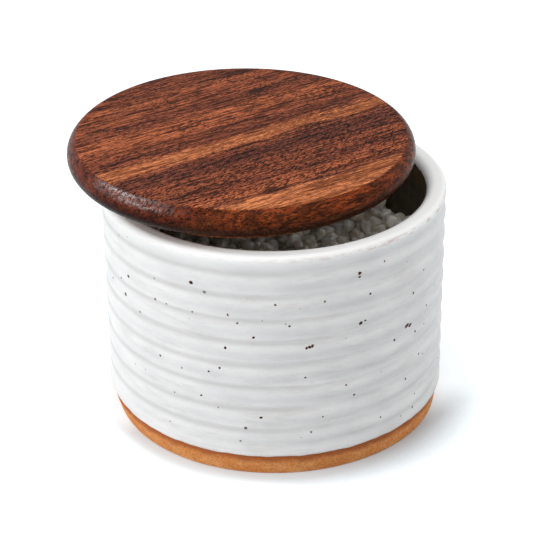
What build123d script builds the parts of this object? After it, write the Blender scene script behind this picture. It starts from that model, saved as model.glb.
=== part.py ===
"""Stoneware salt cellar with a loose, turned wooden lid.

A thrown pot stands on a bare clay foot. A white glaze coats its outside from the glaze line up over the lip,
and a dark liner glaze coats its inside. Coarse salt fills it to well below the lip. The lid is a round board
with a locating disc turned under it, and the disc carries a soft seal ring. Nothing hinges: the lid is
parked off centre and leans a little, with its locating disc standing on the lip, so that fingers can reach
the salt.

Millimetres, +Z up, origin on the table under the middle of the pot. The pot is turned about Z.
"""

from build123d import *
import os
from math import acos, atan2, cos, hypot, radians, sin, sqrt

os.makedirs("parts", exist_ok=True)

# Pot, measured over its glazes.
rim_radius = 50.0
pot_height = 70.0
wall_thickness = 5.8
wall_flare = 0.6  # how much wider the wall is at the table than at the rim
lip_outer_round = 1.7
lip_inner_round = 2.6
lip_outer_share = 0.35  # the most of the wall's thickness that the lip's outer round may take
lip_inner_share = 0.5  # and its inner round

# Throwing rings: convex bands of clay between shallow grooves.
groove_count = 8
groove_depth = 0.4
band_crest = 0.7  # how far up each band it is widest
lowest_groove = 15.5  # above the table
top_groove_drop = 4.7  # below the rim

# Foot and floor.
glaze_line = 7.0  # where the outer glaze stops and bare clay shows
foot_tuck = 1.3  # how far the bare foot curves in below the glaze line
foot_edge_round = 0.5
foot_ring_width = 6.0
foot_recess = 1.5
floor_thickness = 6.0
inner_corner_round = 8.0

# Glazes.
glaze = 0.5
glaze_edge_round = 0.3  # the roll along its lower edge
liner_drop = 3.0  # from the rim down to where the outer glaze gives way to the liner

# Lid, turned from one piece of wood.
lid_overhang = 0.25  # how far the closed lid reaches past the rim
lid_thickness = 8.5
lid_edge_width = 2.7  # the round from the edge in to the soft crease round the top
lid_edge_height = 4.3  # and its height
lid_bottom_round = 4.0
lid_edge_flat = 0.2  # the least left between the two rounds
disc_depth = 3.5  # the locating disc under the board
disc_mouth_gap = 2.4  # between the locating disc and the mouth of the closed pot
disc_edge_round = 0.4

# Seal ring, a flat fin of rubber in a groove of the locating disc.
seal_thickness = 0.9
seal_drop = 0.5  # from the board down to the groove
seal_bite = 1.2  # how deep the groove is
seal_edge_round = 0.35
seal_edge_flat = 0.1  # the least left between its rounds
seal_mouth_gap = 0.2  # between the ring and the mouth of the closed pot

# Where the lid is parked.
lid_shift_x = -9.2
lid_shift_y = 3.3
lid_lean_front = 1.7  # how far it leans down to the front, in degrees
lid_lean_right = 0.25  # and to the right
lid_rest_gap = 0.3  # between the locating disc and the lip under it

# Salt.
salt_depth = 42.5  # the packed bed, from the floor up
salt_wall_gap = 0.2
crystal_width = 4.0
crystal_height = 2.8
crystal_spread = 0.2  # the share by which the crystals come larger and smaller than this
crystal_sizes = 4
crystal_sides = 6
crystal_gap = 0.3  # the least between two crystals
crystal_taper = 8.0  # lean of a crystal's sides, in degrees
crystal_bevel = 0.9

GOLDEN_ANGLE = 180 * (3 - sqrt(5))  # one turn of a seed-head spiral, in degrees
SPIRAL_SPACING = 1.54  # least distance between its points, where the first lies at sqrt(1/2)

inner_radius = rim_radius - wall_thickness
floor_top = foot_recess + floor_thickness
outer_round = min(lip_outer_round, lip_outer_share * wall_thickness)
inner_round = min(lip_inner_round, lip_inner_share * wall_thickness)
liner_top = pot_height - liner_drop


def wall_radius(height):
    """Radius of the wall over the crests of its bands."""
    return rim_radius + wall_flare * (1 - height / pot_height)


def groove_points(inset):
    """The grooves' deepest points, from the lowest up, on a surface set in by inset."""
    top = pot_height - top_groove_drop
    pitch = (top - lowest_groove) / (groove_count - 1)
    heights = [lowest_groove + pitch * i for i in range(groove_count)]
    return [(wall_radius(h) - groove_depth - inset, h) for h in heights]


def draw_outside(inset):
    """Draw wall and lip from the glaze line up, over and down to the liner, set in by inset."""
    grooves = groove_points(inset)
    TangentArc((wall_radius(glaze_line) - inset, glaze_line), grooves[0], tangent=(0, 1))
    for low, high in zip(grooves, grooves[1:]):
        height = low[1] + (high[1] - low[1]) * band_crest
        crest = (wall_radius(height) - inset, height)
        TangentArc(crest, low, tangent=(0, -1))
        TangentArc(crest, high, tangent=(0, 1))
    TangentArc((rim_radius - inset, pot_height - outer_round), grooves[-1], tangent=(0, -1))
    outer_centre = (rim_radius - outer_round, pot_height - outer_round)
    inner_centre = (inner_radius + inner_round, pot_height - inner_round)
    lip_top = pot_height - inset
    CenterArc(outer_centre, outer_round - inset, 0, 90)
    Line((outer_centre[0], lip_top), (inner_centre[0], lip_top))
    CenterArc(inner_centre, inner_round - inset, 90, 90)
    Line((inner_radius + inset, inner_centre[1]), (inner_radius + inset, liner_top))


def draw_inside(inset):
    """Draw the wall's inside and the floor, from the liner's top to the middle, set out by inset."""
    corner_centre = (inner_radius - inner_corner_round, floor_top + inner_corner_round)
    Line((inner_radius + inset, liner_top), (inner_radius + inset, corner_centre[1]))
    CenterArc(corner_centre, inner_corner_round + inset, 270, 90)
    Line((corner_centre[0], floor_top - inset), (0, floor_top - inset))


# Pot body: one section of clay turned about Z. Its glazed faces lie a coat of glaze below the outside.
clay_radius = wall_radius(glaze_line) - glaze
foot_radius = clay_radius - foot_tuck
foot_inner_radius = foot_radius - foot_ring_width
with BuildPart() as pot_body:
    with BuildSketch(Plane.XZ) as clay_section:
        with BuildLine():
            Polyline((0, foot_recess), (foot_inner_radius, foot_recess), (foot_inner_radius, 0))
            Line((foot_inner_radius, 0), (foot_radius, 0))
            TangentArc((clay_radius, glaze_line), (foot_radius, 0), tangent=(0, -1))
            draw_outside(glaze)
            draw_inside(glaze)
            Line((0, floor_top - glaze), (0, foot_recess))
        make_face()
        fillet(clay_section.vertices().group_by(Axis.Y)[0], foot_edge_round)
    revolve(axis=Axis.Z)
pot_body.part.label = "pot_body"

# Outer glaze: white, from the glaze line up over the lip, ending in a soft roll above the bare clay.
with BuildPart() as outer_glaze:
    with BuildSketch(Plane.XZ) as coat_section:
        with BuildLine():
            draw_outside(0)
            draw_outside(glaze)
            Line((clay_radius, glaze_line), (clay_radius + glaze, glaze_line))
            Line((inner_radius, liner_top), (inner_radius + glaze, liner_top))
        make_face()
        fillet(coat_section.vertices().group_by(Axis.Y)[0].sort_by(Axis.X)[-1], glaze_edge_round)
    revolve(axis=Axis.Z)
outer_glaze.part.label = "outer_glaze"

# Liner glaze: dark, over the floor and up the inside to meet the outer glaze.
with BuildPart() as liner_glaze:
    with BuildSketch(Plane.XZ):
        with BuildLine():
            draw_inside(0)
            draw_inside(glaze)
            Line((inner_radius, liner_top), (inner_radius + glaze, liner_top))
            Line((0, floor_top), (0, floor_top - glaze))
        make_face()
    revolve(axis=Axis.Z)
liner_glaze.part.label = "liner_glaze"

# Salt bed: the packed salt, resting on the liner, with a flat top under the loose crystals.
bed_radius = inner_radius - salt_wall_gap
bed_top = floor_top + salt_depth
with BuildPart() as salt_bed:
    with BuildSketch(Plane.XY.offset(floor_top)):
        Circle(bed_radius)
    extrude(amount=salt_depth)
    fillet(salt_bed.edges().sort_by(Axis.Z)[0], inner_corner_round)
salt_bed.part.label = "salt_bed"

# Salt crystals: the loose top layer, spaced like the seeds of a sunflower and turned every way.
largest_crystal = crystal_width * (1 + crystal_spread)
spiral_step = (largest_crystal + crystal_gap) / SPIRAL_SPACING
crystal_count = int(((bed_radius - largest_crystal / 2) / spiral_step) ** 2)


def crystal_places(first):
    """Where every crystal_sizes-th crystal lies on the bed, starting with the given one."""
    places = []
    for i in range(first, crystal_count, crystal_sizes):
        distance = spiral_step * sqrt(i + 0.5)
        angle = GOLDEN_ANGLE * i
        point = (distance * cos(radians(angle)), distance * sin(radians(angle)))
        places.append(Location((*point, bed_top), (0, 0, 2 * angle)))
    return places


def crystal(scale_by):
    """One crystal, standing on the origin: a leaning block with a bevelled top."""
    with BuildPart() as block:
        with BuildSketch():
            RegularPolygon(crystal_width * scale_by / 2, crystal_sides)
        extrude(amount=crystal_height * scale_by, taper=crystal_taper)
        chamfer(block.faces().sort_by(Axis.Z)[-1].edges(), crystal_bevel * scale_by)
    return block.part


crystals = [
    crystal(1 + crystal_spread * (2 * size / (crystal_sizes - 1) - 1)) for size in range(crystal_sizes)
]
with BuildPart() as salt_crystals:
    for size, piece in enumerate(crystals):
        with Locations(crystal_places(size)):
            add(piece)
salt_crystals.part.label = "salt_crystals"

# Where the parked lid rests: the rim of its locating disc first meets the lip's inner edge at the front.
disc_radius = inner_radius - disc_mouth_gap
lip_edge = inner_radius + inner_round
lid_shift = hypot(lid_shift_x, lid_shift_y)
crossing = (lip_edge**2 + lid_shift**2 - disc_radius**2) / (2 * lip_edge * lid_shift)
rest_angle = atan2(lid_shift_y, lid_shift_x) + acos(min(crossing, 1))
rest_to_right = lip_edge * cos(rest_angle) - lid_shift_x
rest_to_back = lip_edge * sin(rest_angle) - lid_shift_y
lean_drop = rest_to_right * sin(radians(lid_lean_right)) - rest_to_back * sin(radians(lid_lean_front))

# Lid: a round board with soft edges, and under it the locating disc with a groove for the seal.
board_height = pot_height + lid_rest_gap + lean_drop + disc_depth
board_plane = Plane((lid_shift_x, lid_shift_y, board_height)).rotated((lid_lean_front, lid_lean_right, 0))
lid_section = Plane(board_plane.origin, x_dir=board_plane.x_dir, z_dir=-board_plane.y_dir)
lid_axis = Axis(board_plane.origin, board_plane.z_dir)
seal_plane = board_plane.offset(-seal_drop)
lid_radius = rim_radius + lid_overhang
edge_height = min(lid_edge_height, (lid_thickness - lid_edge_flat) / 2)
bottom_round = min(lid_bottom_round, lid_thickness - lid_edge_flat - edge_height)
with BuildPart() as lid:
    with BuildSketch(lid_section):
        with BuildLine():
            Line((0, 0), (lid_radius - bottom_round, 0))
            CenterArc((lid_radius - bottom_round, bottom_round), bottom_round, 270, 90)
            Line((lid_radius, bottom_round), (lid_radius, lid_thickness - edge_height))
            crease = (lid_radius - lid_edge_width, lid_thickness)
            TangentArc((lid_radius, lid_thickness - edge_height), crease, tangent=(0, 1))
            Polyline(crease, (0, lid_thickness), (0, 0))
        make_face()
    revolve(axis=lid_axis)
    with BuildSketch(board_plane):
        Circle(disc_radius)
    extrude(amount=-disc_depth)
    fillet(lid.edges().sort_by(Axis.Z)[0], disc_edge_round)
    with BuildSketch(seal_plane):
        Circle(disc_radius)
        Circle(disc_radius - seal_bite, mode=Mode.SUBTRACT)
    extrude(amount=-seal_thickness, mode=Mode.SUBTRACT)
lid.part.label = "lid"

# Seal ring: it fills its groove and stands out to just short of the mouth.
with BuildPart() as seal_ring:
    with BuildSketch(seal_plane):
        Circle(inner_radius - seal_mouth_gap)
        Circle(disc_radius - seal_bite, mode=Mode.SUBTRACT)
    extrude(amount=-seal_thickness)
    outer_edges = seal_ring.edges().filter_by(GeomType.CIRCLE).sort_by(SortBy.RADIUS)[-2:]
    fillet(outer_edges, min(seal_edge_round, (seal_thickness - seal_edge_flat) / 2))
seal_ring.part.label = "seal_ring"

export_step(pot_body.part, "parts/pot_body.step")
export_step(outer_glaze.part, "parts/outer_glaze.step")
export_step(liner_glaze.part, "parts/liner_glaze.step")
export_step(salt_bed.part, "parts/salt_bed.step")
export_step(salt_crystals.part, "parts/salt_crystals.step")
export_step(lid.part, "parts/lid.step")
export_step(seal_ring.part, "parts/seal_ring.step")
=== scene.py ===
"""The looks of a stoneware salt cellar with a loose wooden lid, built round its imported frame.

Lengths are in millimetres, except where metres are named, and become metres where a mesh is made. Materials
measure in millimetres too. The pot's axis is Z, the table is at z = 0 and -Y faces the front.
"""

from math import cos, exp, pi, radians, sin, tau

import bmesh
import bpy
import numpy as np
from mathutils import Matrix, Vector


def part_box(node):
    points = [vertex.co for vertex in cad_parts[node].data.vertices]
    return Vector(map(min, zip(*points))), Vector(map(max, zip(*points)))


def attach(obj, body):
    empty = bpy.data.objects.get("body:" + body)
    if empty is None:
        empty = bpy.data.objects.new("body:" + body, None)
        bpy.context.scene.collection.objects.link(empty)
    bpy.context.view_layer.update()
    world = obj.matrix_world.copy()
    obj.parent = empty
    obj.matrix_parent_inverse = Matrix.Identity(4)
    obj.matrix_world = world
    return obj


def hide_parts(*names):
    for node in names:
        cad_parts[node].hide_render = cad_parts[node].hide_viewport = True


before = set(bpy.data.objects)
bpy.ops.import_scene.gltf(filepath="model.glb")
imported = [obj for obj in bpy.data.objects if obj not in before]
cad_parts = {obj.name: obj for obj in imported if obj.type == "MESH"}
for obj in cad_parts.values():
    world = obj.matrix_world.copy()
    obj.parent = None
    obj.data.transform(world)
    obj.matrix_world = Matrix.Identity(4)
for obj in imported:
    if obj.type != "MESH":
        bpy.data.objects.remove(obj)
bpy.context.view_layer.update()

MM = 0.001
SEED = 20

# ---------------------------------------------------------------- sizes, from the frame where it has them


def node_box(node):
    """Lowest and highest corner of a CAD node, in millimetres."""
    low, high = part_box(node)
    return np.array(low) / MM, np.array(high) / MM


clay_high = node_box("pot_body")[1]
coat_low, coat_high = node_box("outer_glaze")
liner_high = node_box("liner_glaze")[1]
bed_low, bed_high = node_box("salt_bed")
lid_low, lid_high = node_box("lid")
seal_low, seal_high = node_box("seal_ring")

RIM = coat_high[2]
COAT = RIM - clay_high[2]
GLAZE_LINE = coat_low[2]
LINER_TOP = liner_high[2]
INNER = liner_high[0] - COAT
FLOOR = bed_low[2]
LID_RADIUS = (lid_high[0] - lid_low[0]) / 2
SEAL_RADIUS = (seal_high[0] - seal_low[0]) / 2

RIM_RADIUS = 50.0
WALL_FLARE = 0.6  # how much wider the wall is at the table than at the rim
LIP_OUTER = 1.7  # the lip's two rounds, and their centres
LIP_INNER = 2.6
OUTER_CENTRE = (RIM_RADIUS - LIP_OUTER, RIM - LIP_OUTER)
INNER_CENTRE = (INNER + LIP_INNER, RIM - LIP_INNER)
INNER_CORNER = 8.0  # the round between wall and floor inside, and its centre
CORNER_CENTRE = (INNER - INNER_CORNER, FLOOR + INNER_CORNER)
COAT_GAP = 0.04  # left between a glaze coat and the clay under it
LINER_LINES = 0.05  # depth of the faint throwing lines inside

# Throwing rings: bands that swell between grooves, which are deeper on the right of the pot.
BAND_HEAD = -0.10  # where a band starts to swell, from its groove down, as a share of the pitch
BAND_CREST = 0.40  # where it is widest
BAND_FOOT = 0.80  # and where it has fallen back again
BAND_DEPTH = 0.48
DEPTH_SHARE = 0.82  # of that depth on average round the pot
DEPTH_LEAN = 0.52  # and more or less by this much on the deep side and opposite
DEPTH_SIDE = 0.26  # where the deep side starts, in radians from the front
DEPTH_CHANGE = 0.14  # from band to band
RING_WANDER = (0.10, 0.08, 0.06)  # of the grooves' height round the pot
RING_DRIFT = 0.08  # and of each groove against the next
GROOVE_DEPTH = 0.04  # of the narrow line at the bottom of each groove
GROOVE_WIDTH = 0.9
GROOVE_SHIFT = 0.03  # of that line down from the groove's middle, as a share of the pitch
GROOVES = 8
LOWEST_GROOVE = 15.4
TOP_GROOVE = RIM - 5.35
RINGS_TOP = RIM - 1.2  # where the rings have faded out at the lip
RINGS_FOOT = GLAZE_LINE + 0.5  # and above the glaze line
FADE_TOP = 3.0
FADE_FOOT = 4.0

# The glaze's lower edge wanders, and has run a little lower on the right.
EDGE_WANDER = (0.06, 0.08, 0.06, 0.04)
EDGE_RIPPLES = ((0.07, 23, 1.0), (0.05, 41, 0.0), (0.04, 67, 2.0))  # size, how many round the pot, phase
EDGE_ROLL = 0.4  # height of the rolled edge
SAG_ANGLE = radians(80.0)
SAG_WIDTH = 0.5
SAG_DEPTH = 0.4

# The bare foot curves in under the glaze line, and less on the right, where it is fuller.
FOOT_TUCK = 1.3
FULL_SIDE = 0.62  # the share of the tuck that is missing there
FULL_ANGLE = radians(64.0)
FULL_WIDTH = 0.6
FOOT_ROUND = 0.5
FOOT_RING = 6.0
RING_ROUND = 0.4  # of the foot ring's inner edge
RING_SLOPE = 1.0  # how far that edge leans inwards up to the recess
FOOT_RECESS = 1.5
BARE_TOP = GLAZE_LINE - 0.2  # the foot's curve ends here, just behind the glaze
NECK = GLAZE_LINE + 2.0  # and is as wide there as the clay is here

# The lid has its own frame: origin in the middle of the board's underside, Z along the lid's axis.
LID_THICKNESS = 8.5
EDGE_WIDTH = 2.7  # of the round along the board's top edge, which meets the top at a soft crease
EDGE_HEIGHT = 4.3
LID_BOTTOM_ROUND = 4.0
CREASE_EASE = 0.4  # the crease is eased over this much of the top
DISC_DEPTH = 3.5
DISC_RADIUS = INNER - 2.4
DISC_ROUND = 0.4
SEAL_DROP = 0.5
SEAL_THICKNESS = 0.9
SEAL_BITE = 1.2
LEAN_RIGHT = radians(0.25)
LEAN_FRONT = radians(1.7)
LEAN = Matrix.Rotation(LEAN_RIGHT, 3, "Y") @ Matrix.Rotation(LEAN_FRONT, 3, "X")
SEAL_MIDDLE = Vector((seal_low + seal_high) / 2)
LID_PLACE = SEAL_MIDDLE + LEAN @ Vector((0, 0, SEAL_DROP + SEAL_THICKNESS / 2))

SEGMENTS = 384  # of a turned mesh


# ---------------------------------------------------------------- meshes


def new_object(name, points, faces, sharp_angle=35.0):
    """A smooth-shaded mesh object from points in millimetres, with sharp edges above an angle."""
    mesh = bpy.data.meshes.new(name)
    mesh.from_pydata((np.asarray(points) * MM).tolist(), [], np.asarray(faces).tolist())
    work = bmesh.new()
    work.from_mesh(mesh)
    bmesh.ops.remove_doubles(work, verts=work.verts, dist=1e-8)
    bmesh.ops.recalc_face_normals(work, faces=work.faces)
    work.to_mesh(mesh)
    work.free()
    mesh.shade_smooth()
    mesh.set_sharp_from_angle(angle=radians(sharp_angle))
    piece = bpy.data.objects.new(name, mesh)
    bpy.context.scene.collection.objects.link(piece)
    return piece


def turned(name, section, segments=SEGMENTS):
    """A closed mesh turned about Z. section(angle) gives (radius, height) points in order."""
    angles = np.linspace(0, tau, segments, endpoint=False)
    grid = np.array([section(a) for a in angles])
    radius, height = grid[..., 0], grid[..., 1]
    x = radius * np.sin(angles)[:, None]
    y = -radius * np.cos(angles)[:, None]
    points = np.stack((x, y, height), -1).reshape(-1, 3)
    count = grid.shape[1]
    on_axis = radius[0, 0] < 1e-9 and radius[0, -1] < 1e-9
    i, k = np.meshgrid(np.arange(segments), np.arange(count - 1 if on_axis else count), indexing="ij")
    j, m = (i + 1) % segments, (k + 1) % count
    faces = np.stack((i * count + k, j * count + k, j * count + m, i * count + m), -1).reshape(-1, 4)
    return new_object(name, points, faces)


def arc(centre, radius, start, end, steps=8):
    """Points on an arc, from one angle to the other in degrees, where 0 points outwards."""
    a = np.radians(np.linspace(start, end, steps + 1))
    return [(centre[0] + radius * cos(t), centre[1] + radius * sin(t)) for t in a]


def straight(start, end, steps):
    """Evenly spaced points from start towards end, without the end."""
    t = np.linspace(0, 1, steps, endpoint=False)[:, None]
    return (np.array(start) * (1 - t) + np.array(end) * t).tolist()


def waves(angle, sizes, phase):
    """A slow closed wander round the pot: one sine per size, the first with one lobe, the next with two."""
    return sum(size * np.sin(lobe * angle + phase * lobe) for lobe, size in enumerate(sizes, 1))


# ---------------------------------------------------------------- the pot's section


def bands_down(height, angle):
    """How many bands a point lies below the top groove: whole numbers are the grooves."""
    pitch = (TOP_GROOVE - LOWEST_GROOVE) / (GROOVES - 1)
    wander = waves(angle, RING_WANDER, 0.7) + RING_DRIFT * np.sin(height * 0.31 + 2 * angle)
    return (TOP_GROOVE - height + wander) / pitch, pitch


def ringed(height):
    """1 where the wall has its rings, fading to 0 at the lip and at the foot."""
    below_lip = np.clip((RINGS_TOP - height) / FADE_TOP, 0, 1)
    above_foot = np.clip((height - RINGS_FOOT) / FADE_FOOT, 0, 1)
    return below_lip * above_foot


def groove_line(height, angle):
    """1 along the middle of each groove, fading to 0 on both sides."""
    step, pitch = bands_down(height, angle)
    away = np.abs(step - np.round(step) - GROOVE_SHIFT) * pitch
    return np.exp(-((away / GROOVE_WIDTH) ** 2)) * ringed(height)


def wall_radius(height, angle):
    """Radius of the glazed wall: bands that swell below each groove, and a fine line in the groove."""
    height = np.asarray(height, float)
    step = bands_down(height, angle)[0] - BAND_HEAD
    below = np.floor(step)
    crest, foot = BAND_CREST - BAND_HEAD, BAND_FOOT - BAND_HEAD
    swell = np.sin(pi * np.interp(step - below, (0, crest, foot), (0, 0.5, 1))) ** 2
    change = DEPTH_CHANGE * np.sin(2.1 * below + 0.8 * np.sin(angle + below))
    strength = DEPTH_SHARE + DEPTH_LEAN * np.sin(angle - DEPTH_SIDE) + change
    depth = strength * BAND_DEPTH * (1 - swell) * ringed(height) + GROOVE_DEPTH * groove_line(height, angle)
    return RIM_RADIUS + WALL_FLARE * (1 - height / RIM) - depth


def glaze_edge(angle):
    """Height of the glaze's lower edge, which wanders round the pot."""
    fine = sum(size * sin(count * angle + phase) for size, count, phase in EDGE_RIPPLES)
    sag = SAG_DEPTH * exp(-(((angle - SAG_ANGLE) / SAG_WIDTH) ** 2))
    return GLAZE_LINE + waves(angle, EDGE_WANDER, 1.9) + fine - sag


def coat_section(angle):
    """The outer glaze: a coat with a rolled lower edge, over the wall and lip and down to the liner."""
    edge = glaze_edge(angle)
    inside = float(wall_radius(edge, angle)) - COAT + COAT_GAP
    outside = float(wall_radius(edge + EDGE_ROLL, angle))
    heights = np.linspace(edge + EDGE_ROLL, OUTER_CENTRE[1], 200, endpoint=False)
    wall = list(zip(wall_radius(heights, angle), heights))
    roll = [(inside, edge), (inside + 0.22, edge + 0.03)]
    roll += [(outside - 0.1, edge + 0.12), (outside - 0.03, edge + 0.24)]
    over = arc(OUTER_CENTRE, LIP_OUTER, 0, 90, 10) + arc(INNER_CENTRE, LIP_INNER, 90, 180, 12)
    skin = COAT - COAT_GAP
    back = [(INNER, LINER_TOP), (INNER + skin, LINER_TOP)]
    back += arc(INNER_CENTRE, LIP_INNER - skin, 180, 90, 6) + arc(OUTER_CENTRE, LIP_OUTER - skin, 90, 0, 6)
    lower = np.linspace(OUTER_CENTRE[1], edge + 0.5, 30)[1:]
    back += list(zip(wall_radius(lower, angle) - skin, lower))
    return roll + wall + over + back


def clay_section(angle):
    """The clay: foot ring, bare foot, and the wall under the glazes."""
    neck = float(wall_radius(NECK, angle)) - COAT
    fullness = FULL_SIDE * exp(-(((angle - FULL_ANGLE) / FULL_WIDTH) ** 2))
    foot = neck - FOOT_TUCK * (1 - fullness)
    ring = foot - FOOT_RING
    base = [(0.0, FOOT_RECESS), (ring - RING_SLOPE, FOOT_RECESS)]
    base += arc((ring + RING_ROUND, RING_ROUND), RING_ROUND, 180, 270, 4)
    base += arc((foot - FOOT_ROUND, FOOT_ROUND), FOOT_ROUND, 270, 345, 6)
    for t in np.linspace(0.12, 1, 14):
        base.append((foot + (neck - foot) * sin(t * pi / 2), FOOT_ROUND + (BARE_TOP - FOOT_ROUND) * t))
    heights = np.linspace(BARE_TOP + 0.8, OUTER_CENTRE[1], 30)
    wall = list(zip(wall_radius(heights, angle) - COAT, heights))
    over = arc(OUTER_CENTRE, LIP_OUTER - COAT, 20, 90, 6) + arc(INNER_CENTRE, LIP_INNER - COAT, 90, 180, 6)
    down = straight((INNER + COAT, INNER_CENTRE[1] - 1), (INNER + COAT, CORNER_CENTRE[1]), 12)
    down += arc(CORNER_CENTRE, INNER_CORNER + COAT, 0, -90, 6)
    return base + wall + over + down + [(0.0, FLOOR - COAT)]


def liner_section(angle):
    """The liner glaze: a coat on the inside, with faint throwing lines."""
    skin = COAT - COAT_GAP
    heights = np.linspace(CORNER_CENTRE[1], LINER_TOP, 90)[1:]
    fade = np.clip((LINER_TOP - heights) / 3, 0, 1)
    lines = LINER_LINES * fade * (1 + np.sin(heights * 1.35 + waves(angle, (0.8, 0.4), 1.0)))
    inside = [(0.0, FLOOR)] + arc(CORNER_CENTRE, INNER_CORNER, -90, 0, 10)
    inside += list(zip(INNER + lines, heights))
    outside = [(INNER + skin, LINER_TOP)] + arc(CORNER_CENTRE, INNER_CORNER + skin, 0, -90, 8)
    return inside + outside + [(0.0, FLOOR - skin)]


def make_pot():
    """Clay body and both glaze coats. The outer coat keeps where its grooves are, for its material."""
    clay = turned("pot_clay", clay_section)
    coat = turned("glaze_coat", coat_section)
    points = np.zeros(len(coat.data.vertices) * 3)
    coat.data.vertices.foreach_get("co", points)
    x, y, z = points.reshape(-1, 3).T / MM
    groove = coat.data.attributes.new("groove", "FLOAT", "POINT")
    groove.data.foreach_set("value", groove_line(z, np.arctan2(x, -y)))
    liner = turned("liner_coat", liner_section)
    return clay, coat, liner


# ---------------------------------------------------------------- the lid


def lid_section(angle):
    """The wooden board with its locating disc and the seal's groove."""
    crease = LID_RADIUS - EDGE_WIDTH
    radius = (EDGE_WIDTH**2 + EDGE_HEIGHT**2) / (2 * EDGE_WIDTH)
    widest = LID_THICKNESS - EDGE_HEIGHT
    lean = np.degrees(np.arcsin(EDGE_HEIGHT / radius))
    top = straight((0.0, LID_THICKNESS), (crease - CREASE_EASE, LID_THICKNESS), 40)
    top += [(crease - CREASE_EASE, LID_THICKNESS), (crease - 0.15, LID_THICKNESS - 0.012)]
    edge = arc((LID_RADIUS - radius, widest), radius, lean - 1.6, 0, 18)
    steps = np.radians(np.linspace(0, -90, 15)[1:])
    under = [(LID_RADIUS - LID_BOTTOM_ROUND * (1 - cos(t)), widest + widest * sin(t)) for t in steps]
    seat = DISC_RADIUS - SEAL_BITE
    disc = [(DISC_RADIUS, 0.0), (DISC_RADIUS, -SEAL_DROP), (seat, -SEAL_DROP)]
    disc += [(seat, -SEAL_DROP - SEAL_THICKNESS), (DISC_RADIUS, -SEAL_DROP - SEAL_THICKNESS)]
    disc += arc((DISC_RADIUS - DISC_ROUND, DISC_ROUND - DISC_DEPTH), DISC_ROUND, 0, -90, 4)
    disc += [(DISC_RADIUS - 6.0, -DISC_DEPTH), (0.0, -DISC_DEPTH)]
    return top + edge + under + disc


def seal_section(angle):
    """The seal: a flat fin of rubber with a rounded lip, seated in the groove."""
    middle = -SEAL_DROP - SEAL_THICKNESS / 2
    half = SEAL_THICKNESS / 2 - 0.01
    root = DISC_RADIUS - SEAL_BITE + 0.05
    lip = arc((SEAL_RADIUS - half, middle), half, -90, 90, 10)
    return [(root, middle + half), (root, middle - half)] + lip


def make_lid():
    """The turned board and its seal ring, made in the lid's frame and leant as the lid is parked."""
    board = turned("lid_board", lid_section)
    seal = turned("seal_fin", seal_section)
    for piece in (board, seal):
        piece.matrix_world = Matrix.Translation(LID_PLACE * MM) @ LEAN.to_4x4()
    return board, seal


# ---------------------------------------------------------------- the salt

GRAIN_SIZE = (1.5, 2.5)  # smallest and largest half width
GRAIN_FILL = 0.722  # the share of the loose layer's volume that grains are dropped for
GRAIN_CLOSE = 0.93  # the share of their two radii at which settled grains touch
GRAIN_TRIES = 3
WALL_GAP = 0.35  # between the grains and the liner
FILL_GAP = 0.2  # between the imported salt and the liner
SALT_BASE = bed_high[2] - 3.0  # the loose layer's bottom
SALT_TOP = bed_high[2] + 3.4  # and the most that a grain may reach


def settle_grains(rng):
    """Drops round grains one by one and returns the rows (x, y, z, radius) where they come to rest."""
    reach = INNER - WALL_GAP
    grains = np.zeros((0, 4))
    wanted = int(reach**2 * (SALT_TOP - SALT_BASE) * GRAIN_FILL / (4 / 3 * np.mean(GRAIN_SIZE) ** 3))
    for _ in range(wanted):
        radius = rng.uniform(*GRAIN_SIZE)
        best = None
        for _ in range(GRAIN_TRIES):
            away = (reach - radius) * np.sqrt(rng.uniform())
            turn = rng.uniform(0, tau)
            x, y = away * cos(turn), away * sin(turn)
            touch = (grains[:, 3] + radius) * GRAIN_CLOSE
            rise_squared = touch**2 - (grains[:, 0] - x) ** 2 - (grains[:, 1] - y) ** 2
            near = rise_squared > 0
            z = SALT_BASE
            if near.any():
                z = max(z, (grains[near, 2] + np.sqrt(rise_squared[near])).max())
            if best is None or z < best[2]:
                best = (x, y, z, radius)
        if best[2] + radius < SALT_TOP:
            grains = np.vstack((grains, best))
    return grains


def grain_shape(rng, sphere, radius):
    """One coarse crystal: a soft-edged block with slightly uneven faces."""
    power = rng.uniform(2.6, 4.2)
    stretch = np.array([rng.uniform(0.92, 1.18), rng.uniform(0.82, 1.02), rng.uniform(0.74, 0.95)])
    block = sphere / (np.abs(sphere) ** power).sum(1, keepdims=True) ** (1 / power)
    for _ in range(3):
        face = rng.normal(size=3)
        face /= np.linalg.norm(face)
        cut = rng.uniform(0.72, 0.98)
        over = np.maximum(block @ face - cut, 0)
        block = block - over[:, None] * face * 0.85
    dents = sum(rng.uniform(0.01, 0.03) * np.sin(block @ (rng.normal(size=3) * 4) + k) for k in range(3))
    block = block * (1 + dents[:, None]) * stretch
    turn, _ = np.linalg.qr(rng.normal(size=(3, 3)))
    if np.linalg.det(turn) < 0:
        turn[:, 0] *= -1
    return block * radius * 0.96 @ turn.T


def salt_fill_section(angle):
    """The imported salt: it fills the liner, and its top is rough under the loose grains."""
    edge = INNER - FILL_GAP
    radii = np.linspace(0, edge, 70)
    humps = np.sin(radii * 1.9 + 6 * np.sin(2 * angle)) * np.sin(9 * angle + radii)
    rough = 0.3 * humps * np.minimum(radii / 8, 1)
    top = list(zip(radii, SALT_BASE - 0.4 + rough))
    side = straight((edge, SALT_BASE - 1.5), (edge, CORNER_CENTRE[1]), 10)
    low = arc(CORNER_CENTRE, INNER_CORNER - FILL_GAP, 0, -90, 8)
    return top + side + low + [(0.0, FLOOR + FILL_GAP)]


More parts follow.
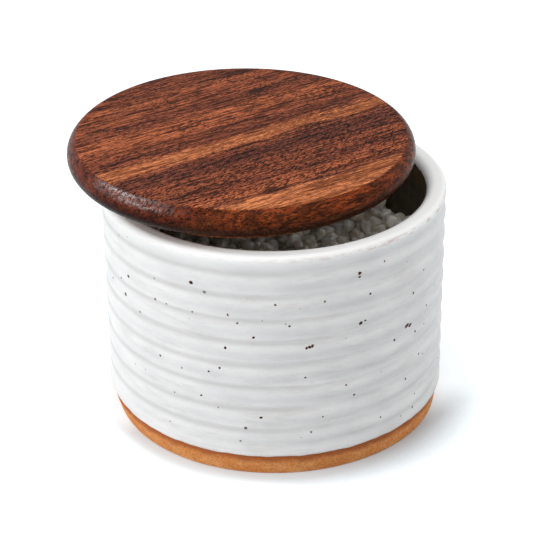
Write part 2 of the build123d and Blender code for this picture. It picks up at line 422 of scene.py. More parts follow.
def make_salt():
    """The loose grains on top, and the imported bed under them."""
    rng = np.random.default_rng(SEED)
    ball = bmesh.new()
    bmesh.ops.create_icosphere(ball, subdivisions=3, radius=1.0)
    ball.verts.ensure_lookup_table()
    sphere = np.array([v.co[:] for v in ball.verts])
    triangles = np.array([[v.index for v in f.verts] for f in ball.faces])
    ball.free()
    points, faces = [], []
    for number, (x, y, z, radius) in enumerate(settle_grains(rng)):
        points.append(grain_shape(rng, sphere, radius) + (x, y, z))
        faces.append(triangles + number * len(sphere))
    grains = new_object("salt_grains", np.vstack(points), np.vstack(faces), 80)
    fill = turned("salt_fill", salt_fill_section, segments=192)
    return grains, fill


# ---------------------------------------------------------------- materials


def srgb(red, green, blue):
    """A colour given as 0-255 screen values, as the linear RGBA that a shader takes."""
    linear = []
    for value in (red, green, blue):
        c = value / 255
        linear.append(c / 12.92 if c <= 0.04045 else ((c + 0.055) / 1.055) ** 2.4)
    return (*linear, 1.0)


class Shader:
    """One material's node tree, with a short call for each kind of node that it uses."""

    def __init__(self, name):
        self.material = bpy.data.materials.new(name)
        self.material.use_nodes = True
        self.tree = self.material.node_tree
        self.tree.nodes.clear()
        coordinates = self.tree.nodes.new("ShaderNodeTexCoord")
        self.place = self.moved(coordinates.outputs["Object"], scale=(1 / MM, 1 / MM, 1 / MM))

    def put(self, socket, value):
        """Sets an input to a value, or links it to another node's output."""
        if isinstance(value, bpy.types.NodeSocket):
            self.tree.links.new(value, socket)
        elif value is not None:
            socket.default_value = value

    def moved(self, vector, offset=(0, 0, 0), turn=0.0, scale=(1, 1, 1)):
        """A vector moved by an offset, then turned about Z in degrees, then scaled."""
        shift = self.tree.nodes.new("ShaderNodeVectorMath")
        shift.operation = "ADD"
        self.put(shift.inputs[0], vector)
        shift.inputs[1].default_value = offset
        rotate = self.tree.nodes.new("ShaderNodeVectorRotate")
        rotate.rotation_type = "Z_AXIS"
        self.put(rotate.inputs["Vector"], shift.outputs[0])
        rotate.inputs["Angle"].default_value = radians(turn)
        multiply = self.tree.nodes.new("ShaderNodeVectorMath")
        multiply.operation = "MULTIPLY"
        self.put(multiply.inputs[0], rotate.outputs[0])
        multiply.inputs[1].default_value = scale
        return multiply.outputs[0]

    def vector_math(self, operation, a, b=None):
        """One operation on vectors."""
        node = self.tree.nodes.new("ShaderNodeVectorMath")
        node.operation = operation
        self.put(node.inputs[0], a)
        self.put(node.inputs[1], b)
        return node.outputs["Value"] if operation in ("DISTANCE", "LENGTH") else node.outputs["Vector"]

    def parts(self, vector):
        """The X, Y and Z of a vector."""
        node = self.tree.nodes.new("ShaderNodeSeparateXYZ")
        self.put(node.inputs[0], vector)
        return node.outputs[0], node.outputs[1], node.outputs[2]

    def joined(self, x, y, z):
        """A vector from its X, Y and Z."""
        node = self.tree.nodes.new("ShaderNodeCombineXYZ")
        for socket, value in zip(node.inputs, (x, y, z)):
            self.put(socket, value)
        return node.outputs[0]

    def math(self, operation, a, b=None, c=None, clamp=False):
        """One operation on values."""
        node = self.tree.nodes.new("ShaderNodeMath")
        node.operation = operation
        node.use_clamp = clamp
        for socket, value in zip(node.inputs, (a, b, c)):
            self.put(socket, value)
        return node.outputs[0]

    def noise(self, vector, scale, detail=2.0, roughness=0.5, distortion=0.0, colour=False):
        """Noise in space, as a value or as a colour."""
        node = self.tree.nodes.new("ShaderNodeTexNoise")
        self.put(node.inputs["Vector"], vector)
        self.put(node.inputs["Scale"], scale)
        node.inputs["Detail"].default_value = detail
        node.inputs["Roughness"].default_value = roughness
        node.inputs["Distortion"].default_value = distortion
        return node.outputs["Color" if colour else "Fac"]

    def cells(self, vector, scale):
        """Voronoi cells: the distance to the nearest seed in cell widths, and a random colour per cell."""
        node = self.tree.nodes.new("ShaderNodeTexVoronoi")
        self.put(node.inputs["Vector"], vector)
        node.inputs["Scale"].default_value = scale
        return node.outputs["Distance"], node.outputs["Color"]

    def attribute(self, name):
        """A value that the mesh holds for each of its points."""
        node = self.tree.nodes.new("ShaderNodeAttribute")
        node.attribute_name = name
        return node.outputs["Fac"]

    def remap(self, value, low, high, to_low=0.0, to_high=1.0, smooth=True):
        """The range from low to high as the range from to_low to to_high, held past its ends."""
        node = self.tree.nodes.new("ShaderNodeMapRange")
        node.interpolation_type = "SMOOTHSTEP" if smooth else "LINEAR"
        self.put(node.inputs["Value"], value)
        for socket, number in zip(list(node.inputs)[1:5], (low, high, to_low, to_high)):
            self.put(socket, number)
        return node.outputs[0]

    def ramp(self, value, stops):
        """A colour for a value from 0 to 1, blended between stops of (place, colour)."""
        node = self.tree.nodes.new("ShaderNodeValToRGB")
        band = node.color_ramp
        while len(band.elements) < len(stops):
            band.elements.new(0.5)
        for element, (place, colour) in zip(band.elements, stops):
            element.position = place
            element.color = colour
        self.put(node.inputs[0], value)
        return node.outputs[0]

    def mix(self, amount, a, b, blend="MIX"):
        """Colour a with colour b over it, or blended with it, by an amount from 0 to 1."""
        node = self.tree.nodes.new("ShaderNodeMix")
        node.data_type = "RGBA"
        node.blend_type = blend
        self.put(node.inputs["Factor"], amount)
        self.put(node.inputs[6], a)
        self.put(node.inputs[7], b)
        return node.outputs[2]

    def grey(self, value):
        """A value as a colour, for multiplying."""
        node = self.tree.nodes.new("ShaderNodeCombineColor")
        for socket in node.inputs:
            self.put(socket, value)
        return node.outputs[0]

    def bump(self, height, distance, normal=None):
        """A bump whose height from 0 to 1 stands for a distance in millimetres."""
        node = self.tree.nodes.new("ShaderNodeBump")
        node.inputs["Strength"].default_value = 1.0
        node.inputs["Distance"].default_value = distance * MM
        self.put(node.inputs["Height"], height)
        self.put(node.inputs["Normal"], normal)
        return node.outputs[0]

    def surface(self, **values):
        """The finished Principled surface; a name such as Base_Color stands for its socket."""
        node = self.tree.nodes.new("ShaderNodeBsdfPrincipled")
        output = self.tree.nodes.new("ShaderNodeOutputMaterial")
        for name, value in values.items():
            self.put(node.inputs[name.replace("_", " ")], value)
        self.tree.links.new(node.outputs[0], output.inputs[0])
        return self.material


# Iron spots where the photo shows them: degrees round from the front, height, radius. Measuring programs
# gave most angles and heights: one found dark spots in the photo, another placed points given one by one.
IRON_SPOTS = (
    (9.4, 42.0, 0.30), (10.3, 42.2, 0.36), (11.3, 42.4, 0.36), (-10.0, 16.1, 0.45), (-27.0, 59.9, 0.46),
    (-22.5, 57.8, 0.42), (27.5, 46.6, 0.48), (47.2, 39.5, 0.66), (49.2, 38.9, 0.60), (26.7, 62.2, 0.40),
    (26.8, 61.0, 0.30), (25.6, 23.9, 0.42), (47.6, 21.9, 0.42), (-7.0, 45.6, 0.35), (-15.0, 51.9, 0.35),
    (-57.0, 47.0, 0.42), (-54.7, 53.6, 0.38), (-16.0, 41.7, 0.33), (48.4, 57.6, 0.32), (-5.0, 20.2, 0.32),
    (-12.0, 49.8, 0.30), (-24.7, 24.8, 0.30), (56.0, 54.0, 0.30), (11.0, 14.6, 0.30), (-18.0, 35.0, 0.28),
    (53.0, 14.6, 0.30), (9.0, 32.6, 0.28), (50.5, 60.1, 0.28), (-31.5, 32.0, 0.26), (15.0, 16.3, 0.28),
    (36.0, 30.4, 0.26), (45.9, 58.6, 0.30), (50.1, 49.0, 0.28), (30.7, 55.0, 0.26), (58.7, 41.6, 0.22),
    (29.0, 47.1, 0.24), (-4.2, 50.9, 0.22), (4.1, 49.2, 0.24), (3.7, 37.1, 0.26), (54.3, 27.4, 0.24),
    (37.2, 22.4, 0.24), (22.5, 28.1, 0.26), (-41.4, 57.5, 0.28), (-36.6, 51.0, 0.26), (-26.9, 51.0, 0.26),
    (-49.0, 44.3, 0.28), (-32.4, 36.9, 0.24), (-40.0, 33.6, 0.24), (-21.7, 33.3, 0.24), (-34.7, 23.1, 0.24),
    (-18.9, 22.0, 0.24),
)  # fmt: skip
HALO_REACH = 1.5  # how far a spot's halo reaches, as a multiple of its radius


def iron_spots(s, vector):
    """How near the nearest listed spot is: 1 in its middle, 0 from its halo's edge on."""
    nearest = None
    for turn, height, radius in IRON_SPOTS:
        wall = RIM_RADIUS + WALL_FLARE * (1 - height / RIM)
        middle = (wall * sin(radians(turn)), -wall * cos(radians(turn)), height)
        away = s.vector_math("DISTANCE", vector, middle)
        cover = s.math("MULTIPLY_ADD", away, -1 / (radius * HALO_REACH), 1.0)
        nearest = cover if nearest is None else s.math("MAXIMUM", nearest, cover)
    return nearest


def scattered_spots(s, vector, spacing, largest, share):
    """Random round spots in space, cut by the surface: 1 in the middle of a spot, 0 from its edge on."""
    distance, chance = s.cells(vector, 1 / spacing)
    red = s.parts(chance)[0]
    radius = s.math("MULTIPLY", s.remap(red, 1 - share, 1.0, smooth=False), largest / spacing)
    return s.math("SUBTRACT", 1.0, s.math("DIVIDE", distance, s.math("MAXIMUM", radius, 1e-4)), clamp=True)


def white_glaze():
    """Satin white glaze over speckled stoneware, thinning to the clay's colour along the lip."""
    s = Shader("white_glaze")
    x, y, z = s.parts(s.place)
    radius = s.vector_math("LENGTH", s.joined(x, y, 0.0))
    around = s.moved(s.place, scale=(1, 1, 2.2))
    cloud = s.noise(around, 0.09, 3.0, 0.55)
    fine = s.noise(around, 0.9, 3.0, 0.6)
    colour = s.mix(s.remap(cloud, 0.3, 0.7), srgb(229, 228, 228), srgb(239, 238, 237))
    colour = s.mix(s.remap(fine, 0.58, 0.78, 0.0, 0.35), colour, srgb(214, 209, 204))
    smudge = s.noise(s.moved(s.place, (4.0, 0.0, 9.0), scale=(0.07, 0.07, 0.45)), 1.0, 4.0, 0.65)
    colour = s.mix(s.remap(smudge, 0.50, 0.68, 0.0, 0.30), colour, srgb(205, 198, 193))

    # Iron spots melt into the glaze with a soft brown rim, and their outlines are a little ragged.
    stir = s.moved(s.noise(s.place, 2.4, 1.0, colour=True), (-0.5, -0.5, -0.5), scale=(0.5, 0.5, 0.5))
    ragged = s.vector_math("ADD", s.place, stir)
    large = iron_spots(s, ragged)
    small = scattered_spots(s, ragged, 3.3, 0.52, 0.42)
    faint = scattered_spots(s, s.moved(ragged, (31.0, 17.0, 5.0)), 6.0, 0.45, 0.4)
    halo = s.math("MAXIMUM", s.remap(large, 0.0, 0.15), s.remap(small, 0.0, 0.35))
    core = s.math("MAXIMUM", s.remap(large, 0.08, 0.24), s.remap(small, 0.15, 0.45, 0.0, 0.95))
    colour = s.mix(s.remap(faint, 0.1, 1.0, 0.0, 0.22), colour, srgb(150, 135, 125))
    colour = s.mix(s.math("MULTIPLY", halo, 0.7), colour, srgb(150, 105, 80))
    colour = s.mix(core, colour, srgb(66, 30, 16))

    # The lip is painted whiter than the wall: painted light, for the light that its upward face catches.
    colour = s.mix(s.remap(z, RIM - 4.6, RIM - 0.9), colour, srgb(253, 253, 252))

    # The glaze runs thin on the lip's outer corner, in broken strokes, and most on the right.
    strokes = s.noise(s.moved(s.place, scale=(0.32, 0.32, 1.6)), 1.0, 3.0, 0.65)
    corner = s.math("ABSOLUTE", s.math("SUBTRACT", z, RIM - 1.25))
    thin = s.math("MULTIPLY", s.remap(corner, 0.9, 0.15), s.remap(strokes, 0.42, 0.60))
    thin = s.math("MULTIPLY", thin, s.remap(radius, RIM_RADIUS - 1.6, RIM_RADIUS - 0.7))
    thin = s.math("MULTIPLY", thin, s.remap(x, -15.0, 35.0, 0.12, 0.5))
    colour = s.mix(thin, colour, srgb(190, 152, 136))

    # It pools a little darker in the grooves: partly glaze, partly painted shade, most on the left, least
    # on the right.
    most = s.remap(x, -8.0, 20.0, 0.52, 0.12)
    colour = s.mix(s.math("MULTIPLY", s.attribute("groove"), most), colour, srgb(188, 187, 184))

    # Inside the mouth it fades into the dark liner.
    inner = s.math("MULTIPLY", s.remap(radius, INNER + 1.4, INNER + 0.6), s.remap(z, RIM - 1.4, RIM - 3.0))
    inner = s.math("ADD", inner, s.remap(s.noise(s.place, 0.6, 2.0), 0.3, 0.7, -0.25, 0.25))
    colour = s.mix(s.remap(inner, 0.2, 0.8), colour, srgb(86, 74, 52))

    # A warm line runs where the coat ends over the bare clay.
    height = s.math("ADD", z, s.remap(fine, 0.3, 0.7, -0.3, 0.3))
    edge = s.remap(height, GLAZE_LINE + 1.0, GLAZE_LINE + 0.1)
    colour = s.mix(s.math("MULTIPLY", edge, 0.35), colour, srgb(196, 176, 160))

    ripple = s.noise(around, 0.35, 2.0, 0.5)
    pits = s.math("MAXIMUM", s.remap(large, 0.2, 0.6), s.remap(small, 0.3, 0.9))
    normal = s.bump(ripple, 0.10)
    normal = s.bump(fine, 0.02, normal)
    normal = s.bump(pits, -0.06, normal)
    rough = s.remap(s.noise(around, 0.5, 2.0), 0.3, 0.7, 0.36, 0.46)
    shine = s.remap(core, 0.0, 1.0, 0.4, 0.1)
    return s.surface(Base_Color=colour, Roughness=rough, Normal=normal, Specular_IOR_Level=shine)


def bare_clay():
    """Sanded, unglazed stoneware: warm orange tan with grog, darker and redder just under the glaze."""
    s = Shader("bare_clay")
    z = s.parts(s.place)[2]
    cloud = s.noise(s.place, 0.16, 3.0, 0.6)
    grit = s.noise(s.place, 1.6, 3.0, 0.7)
    colour = s.mix(s.remap(cloud, 0.3, 0.7), srgb(224, 144, 78), srgb(244, 173, 107))
    colour = s.mix(s.remap(grit, 0.40, 0.70, 0.0, 0.7), colour, srgb(178, 102, 50))
    height = s.math("ADD", z, s.remap(cloud, 0.3, 0.7, -0.7, 0.7))
    under_glaze = s.remap(height, GLAZE_LINE - 3.4, GLAZE_LINE - 1.0)
    colour = s.mix(s.math("MULTIPLY", under_glaze, 0.8), colour, srgb(158, 76, 34))
    light = scattered_spots(s, s.place, 1.5, 0.34, 0.5)
    dark = scattered_spots(s, s.moved(s.place, (11.0, 7.0, 3.0)), 1.4, 0.30, 0.5)
    colour = s.mix(s.remap(light, 0.1, 0.8, 0.0, 0.6), colour, srgb(232, 196, 150))
    colour = s.mix(s.remap(dark, 0.1, 0.8, 0.0, 0.75), colour, srgb(84, 48, 30))
    normal = s.bump(grit, 0.10)
    normal = s.bump(s.noise(s.place, 4.5, 2.0), 0.04, normal)
    return s.surface(Base_Color=colour, Roughness=0.82, Normal=normal, Specular_IOR_Level=0.25)


def dark_glaze():
    """Dark olive brown liner glaze, streaked down the wall, finely speckled and paler near the lip."""
    s = Shader("dark_glaze")
    streaks = s.noise(s.moved(s.place, scale=(1, 1, 0.25)), 0.35, 4.0, 0.6)
    colour = s.mix(s.remap(streaks, 0.3, 0.7), srgb(66, 54, 36), srgb(92, 78, 54))
    spots = scattered_spots(s, s.place, 2.2, 0.5, 0.5)
    colour = s.mix(s.remap(spots, 0.0, 0.7, 0.0, 0.8), colour, srgb(34, 24, 16))
    height = s.math("ADD", s.parts(s.place)[2], s.remap(streaks, 0.3, 0.7, -2.0, 2.0))
    near_lip = s.remap(height, LINER_TOP - 9.0, LINER_TOP)
    colour = s.mix(s.math("MULTIPLY", near_lip, 0.7), colour, srgb(136, 116, 84))
    normal = s.bump(s.noise(s.place, 0.5, 2.0), 0.08)
    return s.surface(Base_Color=colour, Roughness=0.38, Normal=normal, Specular_IOR_Level=0.5)


GRAIN_TURN = 33.0  # the direction of the wood's grain, in degrees from +X

HEART = srgb(96, 47, 34)
DARK = srgb(108, 53, 36)
BROWN = srgb(124, 62, 40)
RED = srgb(137, 69, 43)
AMBER = srgb(150, 78, 48)
GOLD = srgb(176, 101, 62)

# The wood's tones across its grain, from the front edge to the back: millimetres from the middle, tone.
WOOD_BANDS = (
    (-46, GOLD), (-37.5, GOLD), (-35.5, DARK), (-33, AMBER), (-30, RED), (-27.5, DARK), (-24, BROWN),
    (-19, BROWN), (-15.5, HEART), (-11.5, HEART), (-8.2, BROWN), (-6.2, GOLD), (-2.7, GOLD), (-1.0, BROWN),
    (2, DARK), (4.5, BROWN), (8, RED), (11, AMBER), (15.5, AMBER), (18, BROWN), (22, DARK), (25.5, RED),
    (30, BROWN), (34.5, AMBER), (37.5, DARK), (41, BROWN), (46, DARK),
)  # fmt: skip
WOOD_REACH = 50.0  # the ramp of tones runs this far to each side of the middle
DEEP_TINT = (1.0, 0.86, 0.76, 1.0)  # dark lines are redder than the tone beside them
PALE_TINT = (0.98, 1.13, 1.18, 1.0)  # and pale flecks are yellower


def lid_wood():
    """Dark figured hardwood under thin oil: bands, grain lines, curly flecks and short pores."""
    s = Shader("lid_wood")
    board = s.moved(s.place, (0.0, 0.0, -LID_THICKNESS), -GRAIN_TURN)
    along, across, up = s.parts(board)

    # The bands wander along the grain, feather at their edges and lean as they go down through the board.
    bend = s.noise(s.moved(board, scale=(0.020, 0.012, 0.02)), 1.0, 1.0)
    feather = s.noise(s.moved(board, scale=(0.09, 0.9, 0.9)), 1.0, 3.0, 0.65)
    place = s.math("ADD", across, s.remap(bend, 0.2, 0.8, -1.6, 1.6, smooth=False))
    place = s.math("ADD", place, s.remap(feather, 0.25, 0.75, -1.9, 1.9, smooth=False))
    place = s.math("MULTIPLY_ADD", up, 0.9, place)
    share = s.remap(place, -WOOD_REACH, WOOD_REACH, smooth=False)
    stops = [((across_at + WOOD_REACH) / (2 * WOOD_REACH), tone) for across_at, tone in WOOD_BANDS]
    colour = s.ramp(share, stops)

    # Wide streaks, fibres and thin dark lines run along the grain.
    wide = s.noise(s.moved(board, (0.0, 9.0, 0.0), scale=(0.035, 0.38, 0.38)), 1.0, 3.0, 0.6)
    fibres = s.noise(s.moved(board, scale=(0.13, 2.8, 2.8)), 1.0, 2.0, 0.65, 0.2)
    lines = s.noise(s.moved(board, (3.0, 8.0, 1.0), scale=(0.06, 1.3, 1.3)), 1.0, 3.0, 0.6)
    shade = s.remap(wide, 0.35, 0.65, 0.80, 1.20, smooth=False)
    shade = s.math("MULTIPLY", shade, s.remap(fibres, 0.36, 0.64, 0.44, 1.56, smooth=False))
    shade = s.math("MULTIPLY", shade, s.remap(lines, 0.38, 0.50, 0.55, 1.08))

    # Curly flecks cross it, close and fine, and are strongest in the dark heartwood.
    flecks = s.noise(s.moved(board, turn=-20.0, scale=(0.60, 2.1, 2.1)), 1.0, 3.0, 0.75, 0.5)
    grit = s.noise(s.moved(board, scale=(0.55, 4.5, 4.5)), 1.0, 2.0, 0.6)
    patchy = s.noise(s.moved(board, (7.0, 3.0, 0.0), scale=(0.05, 0.11, 0.08)), 1.0, 1.0)
    heart = s.math("MULTIPLY", s.remap(place, -6.0, -10.0), s.remap(place, -37.0, -33.0))
    amount = s.math("MAXIMUM", heart, s.remap(patchy, 0.40, 0.66, 0.15, 0.8))
    amount = s.math("MULTIPLY", amount, s.remap(place, -39.0, -35.5, 0.35, 1.0))
    swing = s.math("MULTIPLY", s.remap(flecks, 0.36, 0.64, -0.85, 0.85, smooth=False), amount)
    shade = s.math("MULTIPLY", shade, s.math("ADD", swing, 1.05))
    shade = s.math("MULTIPLY", shade, s.remap(grit, 0.38, 0.62, 0.62, 1.38, smooth=False))

    # The golden bands are calmer.
    streak = s.math("MULTIPLY", s.remap(place, -7.5, -6.0), s.remap(place, -1.3, -2.8))
    golden = s.math("MAXIMUM", streak, s.remap(place, -36.0, -38.5))
    middle = 1.06
    swing = s.math("MULTIPLY", s.math("SUBTRACT", shade, middle), s.remap(golden, 0.0, 1.0, 1.0, 0.5))
    shade = s.math("ADD", swing, middle)
    # Darker along the grain from left to right: partly the wood, partly painted shade where the light falls
    # off.
    shade = s.math("MULTIPLY", shade, s.remap(along, -45.0, 45.0, 1.10, 0.92))
    contrast = s.math("MINIMUM", s.math("POWER", shade, 2.4), 2.7)
    shade = s.math("MULTIPLY", contrast, 0.79)
    colour = s.mix(1.0, colour, s.grey(shade), "MULTIPLY")
    colour = s.mix(1.0, colour, s.mix(s.remap(shade, 0.2, 1.7), DEEP_TINT, PALE_TINT), "MULTIPLY")

    # Pores: short dark dashes along the grain, which are dots on the end grain.
    pores = s.noise(s.moved(board, (5.0, 0.0, 0.0), scale=(0.45, 3.2, 3.2)), 1.0, 1.0, 0.5)
    open_pore = s.remap(pores, 0.58, 0.66)
    colour = s.mix(s.math("MULTIPLY", open_pore, 0.6), colour, srgb(40, 18, 12))

    # The turned edge has drunk more oil: its end grain is redder, with black mottling.
    radius = s.vector_math("LENGTH", s.joined(along, across, 0.0))
    crease = LID_RADIUS - EDGE_WIDTH
    edge = s.remap(radius, crease - 0.1, crease + 0.5)
    end = s.math("DIVIDE", along, radius)
    end = s.math("MULTIPLY", end, end)
    smooth = s.noise(s.moved(board, scale=(0.12, 0.5, 0.5)), 1.0, 4.0, 0.6)
    mottle = s.noise(s.moved(board, (2.0, 0.0, 9.0), scale=(0.16, 0.7, 1.3)), 1.0, 5.0, 0.75)
    oiled_and_shaded = s.mix(s.remap(smooth, 0.38, 0.62), srgb(68, 27, 11), srgb(124, 55, 25))
    oiled_and_shaded = s.mix(s.math("MULTIPLY", s.remap(end, 0.3, 0.9), 0.7), oiled_and_shaded, srgb(84, 37, 30))
    oiled_and_shaded = s.mix(s.remap(mottle, 0.49, 0.56, 0.0, 0.9), oiled_and_shaded, srgb(22, 10, 8))
    oiled_and_shaded = s.mix(s.math("MULTIPLY", open_pore, 0.5), oiled_and_shaded, srgb(30, 14, 10))
    # Painted shade and light: the edge darkens towards its bottom, where it faces down, and is lighter near
    # its top.
    low = s.remap(up, -6.0, -2.4, 0.10, 1.35)
    low = s.math("MULTIPLY", low, s.remap(grit, 0.38, 0.62, 0.7, 1.3))
    oiled_and_shaded = s.mix(1.0, oiled_and_shaded, s.grey(low), "MULTIPLY")
    colour = s.mix(s.math("MULTIPLY", edge, 0.92), colour, oiled_and_shaded)

    normal = s.bump(grit, 0.03)
    normal = s.bump(flecks, 0.04, normal)
    normal = s.bump(open_pore, -0.10, normal)
    normal = s.bump(s.math("MULTIPLY", mottle, edge), 0.05, normal)
    top_rough = s.grey(s.remap(fibres, 0.3, 0.7, 0.40, 0.55))
    rough = s.mix(edge, top_rough, s.grey(s.remap(mottle, 0.4, 0.6, 0.20, 0.34)))

    # The oil shines only at the front left, along the top of the edge, and pores break the shine.
    shine = s.math("MULTIPLY", s.remap(along, -34.0, -47.0), s.remap(up, -2.9, -1.2))
    shine = s.math("MULTIPLY", edge, shine)
    specks = s.noise(s.moved(board, (0.0, 5.0, 2.0), scale=(0.4, 1.2, 1.2)), 1.0, 3.0, 0.7)
    shine = s.math("MULTIPLY", shine, s.remap(specks, 0.56, 0.47, 0.1, 1.0))
    shine = s.math("MULTIPLY", shine, s.remap(across, 2.0, -12.0, 0.03, 1.0))
    shine = s.math("MULTIPLY_ADD", shine, 1.15, 0.03)
    return s.surface(Base_Color=colour, Roughness=rough, Normal=normal, Specular_IOR_Level=shine)


def seal_rubber():
    """Matte black rubber with a faint moulded skin."""
    s = Shader("seal_rubber")
    skin = s.noise(s.place, 2.0, 2.0)
    colour = s.mix(s.remap(skin, 0.3, 0.7), srgb(20, 19, 19), srgb(30, 29, 28))
    return s.surface(Base_Color=colour, Roughness=0.6, Normal=s.bump(skin, 0.02))


def coarse_salt(name="coarse_salt", milk=0.05):
    """Coarse salt: cloudy, warm white crystals that look moist and let some light through."""
    s = Shader(name)
    cloud = s.noise(s.place, 0.45, 3.0, 0.6)
    colour = s.mix(s.remap(cloud, 0.3, 0.7), srgb(250, 236, 218), srgb(255, 250, 241))
    normal = s.bump(s.noise(s.place, 1.1, 3.0, 0.6), 0.12)
    return s.surface(
        Base_Color=colour, Roughness=0.14, Normal=normal, IOR=1.5, Transmission_Weight=milk,
        Subsurface_Weight=0.7, Subsurface_Radius=(1.0, 0.92, 0.84), Subsurface_Scale=0.0022,
        Specular_IOR_Level=0.8,
    )  # fmt: skip


def paint(piece, material, slot, body, *nodes):
    """Gives a piece its material and its body, and hides the CAD nodes that it stands for. The slot is not
    used.
    """
    piece.data.materials.clear()
    piece.data.materials.append(material)
    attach(piece, body)
    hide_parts(*nodes)


clay, coat, liner = make_pot()
board, seal = make_lid()
grains, fill = make_salt()
paint(clay, bare_clay(), "bare_clay", "pot", "pot_body")
paint(coat, white_glaze(), "white_glaze", "pot", "outer_glaze")
paint(liner, dark_glaze(), "dark_glaze", "pot", "liner_glaze")
paint(grains, coarse_salt(), "salt", "pot", "salt_crystals")
paint(fill, coarse_salt("packed_salt", 0.0), "salt", "pot", "salt_bed")
paint(board, lid_wood(), "lid_wood", "loose_lid", "lid")
paint(seal, seal_rubber(), "seal_rubber", "loose_lid", "seal_ring")


# ---------------------------------------------------------------- floor, light and camera

FLOOR_SIZE = 3.0  # metres

# The floor is a grey surface in the lamps' light, a little blue against the warm foot beside it. The camera
# and reflections see a glow on it, which makes the open floor white and fades round the object: a painted
# shadow.
FLOOR_GREY = (0.493, 0.525, 0.545, 1.0)
GLOW_TINT = (0.95, 1.0, 1.025, 1.0)
FLOOR_GLOW = 0.75
OPEN_FLOOR = (0.52, 0.88)  # ambient occlusion at which the glow is least and full
SIDE_LEAN = 0.2  # the lit side is the left and, by this much, the front
LIT_SIDE = -20.0  # left of here all of the floor is on that side, and right of the rim none is
SHADE_REACH = (10.0, 33.0)  # how near to the object the glow fades: on its lit side, on the other
LEAST_GLOW = 0.40  # the share of the glow that is left right beside the object on its lit side
BEHIND = (-34.0, -8.0)  # from front to back between these the glow comes back
BEHIND_LEAN = -0.15  # and farther back on the right
BEHIND_GLOW = 0.82  # to this share

WORLD_LIGHT = 0.6  # strength of the white world as a light
WORLD_SEEN = 1.0  # and to the camera and in reflections

# Lamps: name, place and height of the point they face in metres, size in metres, power in watts.
LAMPS = (
    ("key", (-0.995, -0.443, 0.31), 0.04, 0.6, 5.5),
    ("accent", (-0.615, 0.165, 0.68), 0.07, 0.16, 1.2),
    ("top", (0.13, -0.36, 0.86), 0.06, 0.5, 2.0),
    ("rim", (0.756, 0.306, 0.42), 0.04, 0.6, 0.85),
)

# The camera has a long lens and a very small roll.
CAMERA_PLACE = Vector((-2.363, -404.845, 257.679))
CAMERA_AHEAD = Vector((0.0, 0.881359, -0.472447))
CAMERA_RIGHT = Vector((0.999926, -0.005764, -0.010752))
CAMERA_LENS = 103.7
SENSOR_WIDTH = 36.0
CLIP = (0.01, 20.0)  # metres


def seen_directly(tree):
    """1 for what the camera sees, also in reflections and through clear things, and 0 for light."""
    rays = tree.nodes.new("ShaderNodeLightPath").outputs
    seen = rays["Is Camera Ray"]
    for name in ("Is Glossy Ray", "Is Transmission Ray"):
        either = tree.nodes.new("ShaderNodeMath")
        either.operation = "MAXIMUM"
        tree.links.new(seen, either.inputs[0])
        tree.links.new(rays[name], either.inputs[1])
        seen = either.outputs[0]
    return seen


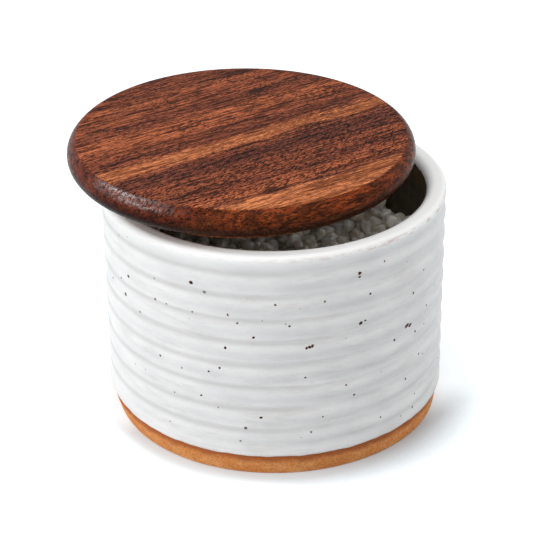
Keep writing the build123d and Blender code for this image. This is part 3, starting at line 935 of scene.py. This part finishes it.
def make_floor():
    """A pale table that reads as white to the camera, with the object's soft shadow, partly real and partly
    painted.
    """
    bpy.ops.mesh.primitive_plane_add(size=FLOOR_SIZE, location=(0, 0, 0))
    table = bpy.context.object
    table.name = "table"
    s = Shader("table")
    openness = s.tree.nodes.new("ShaderNodeAmbientOcclusion")
    x, y, _ = s.parts(s.place)
    # Painted shadow: the glow fades near the object, farther out on the right and front, and comes back
    # behind it.
    side = s.math("MULTIPLY_ADD", y, SIDE_LEAN, x)
    reach = s.remap(side, LIT_SIDE, RIM_RADIUS, SHADE_REACH[0] * MM, SHADE_REACH[1] * MM)
    s.put(openness.inputs["Distance"], reach)
    least = s.remap(side, LIT_SIDE, RIM_RADIUS, LEAST_GLOW, 0.0)
    clear = s.remap(openness.outputs["AO"], *OPEN_FLOOR, least)
    behind = s.math("MULTIPLY_ADD", x, BEHIND_LEAN, y)
    clear = s.math("MAXIMUM", clear, s.remap(behind, *BEHIND, 0.0, BEHIND_GLOW))
    matte = s.tree.nodes.new("ShaderNodeBsdfDiffuse")
    matte.inputs["Color"].default_value = FLOOR_GREY
    glow = s.tree.nodes.new("ShaderNodeEmission")
    glow.inputs["Color"].default_value = GLOW_TINT
    strength = s.math("MULTIPLY", clear, FLOOR_GLOW)
    s.put(glow.inputs["Strength"], s.math("MULTIPLY", seen_directly(s.tree), strength))
    both = s.tree.nodes.new("ShaderNodeAddShader")
    s.put(both.inputs[0], matte.outputs[0])
    s.put(both.inputs[1], glow.outputs[0])
    output = s.tree.nodes.new("ShaderNodeOutputMaterial")
    s.put(output.inputs[0], both.outputs[0])
    table.data.materials.append(s.material)


def make_world():
    """Even white surroundings: white to the camera and in reflections, and dimmer as a light."""
    world = bpy.data.worlds.new("studio")
    bpy.context.scene.world = world
    world.use_nodes = True
    tree = world.node_tree
    background = tree.nodes["Background"]
    background.inputs["Color"].default_value = (1, 1, 1, 1)
    strength = tree.nodes.new("ShaderNodeMapRange")
    tree.links.new(seen_directly(tree), strength.inputs["Value"])
    strength.inputs["To Min"].default_value = WORLD_LIGHT
    strength.inputs["To Max"].default_value = WORLD_SEEN
    tree.links.new(strength.outputs[0], background.inputs["Strength"])


def softbox(name, place, facing, size, power):
    """A square area lamp that faces a point on the pot's axis, given by its height."""
    lamp = bpy.data.lights.new(name, "AREA")
    lamp.shape = "SQUARE"
    lamp.size = size
    lamp.energy = power
    holder = bpy.data.objects.new(name, lamp)
    holder.location = place
    holder.rotation_mode = "QUATERNION"
    holder.rotation_quaternion = (Vector((0, 0, facing)) - Vector(place)).to_track_quat("-Z", "Y")
    bpy.context.scene.collection.objects.link(holder)


def make_lights():
    """A low key from the left, a small accent high on that side, a top light and a weak one from behind."""
    for lamp in LAMPS:
        softbox(*lamp)


def make_camera():
    """The camera, where the photo was taken from: in front of the pot and above it."""
    lens = bpy.data.cameras.new("camera")
    lens.lens = CAMERA_LENS
    lens.sensor_width = SENSOR_WIDTH
    lens.clip_start, lens.clip_end = CLIP
    camera = bpy.data.objects.new("camera", lens)
    ahead = CAMERA_AHEAD.normalized()
    right = (CAMERA_RIGHT - ahead * CAMERA_RIGHT.dot(ahead)).normalized()
    upward = right.cross(ahead)
    turn = Matrix((right, upward, -ahead)).transposed()
    camera.matrix_world = Matrix.Translation(CAMERA_PLACE * MM) @ turn.to_4x4()
    bpy.context.scene.collection.objects.link(camera)
    bpy.context.scene.camera = camera


make_floor()
make_world()
make_lights()
make_camera()
bpy.context.scene.view_settings.view_transform = "Standard"
